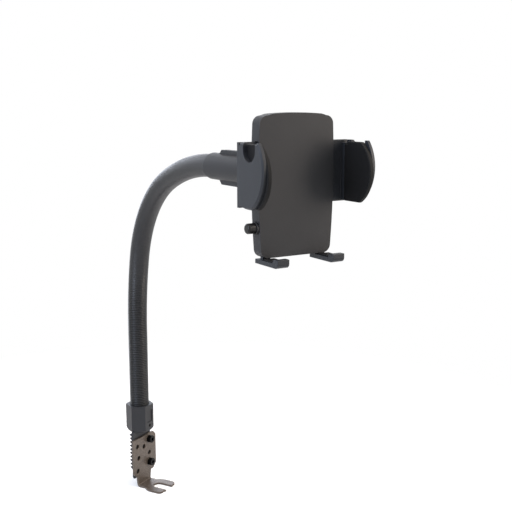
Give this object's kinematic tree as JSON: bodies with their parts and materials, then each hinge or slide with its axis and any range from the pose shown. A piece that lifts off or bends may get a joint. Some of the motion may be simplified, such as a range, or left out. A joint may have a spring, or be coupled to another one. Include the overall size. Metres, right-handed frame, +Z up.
{
  "type": "seat rail phone mount",
  "caption": "Phone mount for a car seat rail: bent slotted foot, toothed tang and hexagonal collar, ribbed gooseneck, ball swivel, and a cradle with geared jaws, a release button and sliding feet.",
  "frame": {"origin": "centre of the closed end of the foot's slot, on the foot's underside", "axes": "+Z up along the slot's axis and the lower neck, +X to the right across the cradle, cradle facing -Y"},
  "size_m": [0.086, 0.302, 0.3532],
  "materials": {
    "coated_steel": "satin",
    "black_nylon": "fine texture",
    "case_plastic": "fine texture",
    "jaw_plastic": "smooth satin",
    "neck_coating": "ribbed satin",
    "pad_rubber": "matte",
    "button_plastic": "semi-gloss",
    "zinc_steel": "zinc plated",
    "black_steel": "black oxide",
    "acetal": "natural",
    "spring_steel": "bright"
  },
  "bodies": {
    "base": {"rail_bracket": "coated_steel", "base_collar": "black_nylon", "bracket_screws": "black_steel", "bracket_washers": "zinc_steel", "bracket_nuts": "zinc_steel", "collar_screw": "black_steel", "gooseneck": "neck_coating"},
    "head": {"head_sleeve": "black_nylon", "head_screw": "black_steel", "ball_stud": "zinc_steel"},
    "liner": {"ball_liner": "acetal"},
    "ring": {"lock_ring": "black_nylon"},
    "cradle": {"ball_socket": "black_nylon", "socket_screws": "zinc_steel", "cradle_back": "case_plastic", "cradle_front": "case_plastic", "case_screws": "black_steel", "pinion_pin": "zinc_steel", "opening_spring": "spring_steel", "pawl_pin": "zinc_steel", "button_guide": "black_nylon", "button_spring": "spring_steel"},
    "gear": {"pinion": "acetal"},
    "left_jaw": {"left_arm": "jaw_plastic", "left_pad": "pad_rubber"},
    "right_jaw": {"right_arm": "jaw_plastic", "right_pad": "pad_rubber"},
    "pawl": {"lock_pawl": "acetal"},
    "button": {"release_button": "button_plastic"},
    "foot_left": {"left_foot": "jaw_plastic", "left_foot_pad": "pad_rubber"},
    "foot_right": {"right_foot": "jaw_plastic", "right_foot_pad": "pad_rubber"}
  },
  "joints": [
    {"name": "neck_bend", "type": "hinge", "parent": "base", "child": "head", "pos_m": [-0.01, -0.01302, 0.26552], "axis": [1, 0, 0], "range_deg": [-25, 25], "deforming": ["gooseneck"]},
    {"name": "head_pan", "type": "hinge", "parent": "head", "child": "liner", "pos_m": [-0.01, -0.20943, 0.3126], "axis": [0, 0, 1], "range_deg": [-15, 15]},
    {"name": "head_tilt", "type": "hinge", "parent": "liner", "child": "ring", "pos_m": [-0.01, -0.20943, 0.3126], "axis": [1, 0, 0], "range_deg": [-15, 15]},
    {"name": "cradle_spin", "type": "hinge", "parent": "ring", "child": "cradle", "pos_m": [-0.01, -0.20943, 0.3126], "axis": [0, 1, 0], "continuous": true},
    {"name": "pinion_turn", "type": "hinge", "parent": "cradle", "child": "gear", "pos_m": [-0.01, -0.23992, 0.31495], "axis": [0, -1, 0], "range_deg": [-58, 77]},
    {"name": "left_jaw_slide", "type": "slide", "parent": "cradle", "child": "left_jaw", "axis": [-1, 0, 0], "range_m": [-0.006, 0.008], "deforming": ["lock_pawl", "opening_spring"]},
    {"name": "right_jaw_slide", "type": "slide", "parent": "cradle", "child": "right_jaw", "axis": [1, 0, 0], "range_m": [-0.006, 0.008]},
    {"name": "button_press", "type": "slide", "parent": "cradle", "child": "button", "axis": [1, 0, 0], "range_m": [0, 0.0012], "stiffness_N_per_m": 400, "springref_m": -0.002, "deforming": ["button_spring"]},
    {"name": "pawl_turn", "type": "hinge", "parent": "cradle", "child": "pawl", "pos_m": [0.003, -0.23992, 0.2866], "axis": [0, -1, 0], "range_deg": [0, 12]},
    {"name": "left_foot_slide", "type": "slide", "parent": "cradle", "child": "foot_left", "axis": [0, 0, -1], "range_m": [0, 0.01]},
    {"name": "right_foot_slide", "type": "slide", "parent": "cradle", "child": "foot_right", "axis": [0, 0, -1], "range_m": [0, 0.01]}
  ],
  "couplings": [
    {"joint": "pinion_turn", "follows": "left_jaw_slide", "rad_per_m": 166.67},
    {"joint": "right_jaw_slide", "follows": "left_jaw_slide", "ratio": 1},
    {"joint": "pawl_turn", "follows": "button_press", "rad_per_m": 166.67}
  ]
}
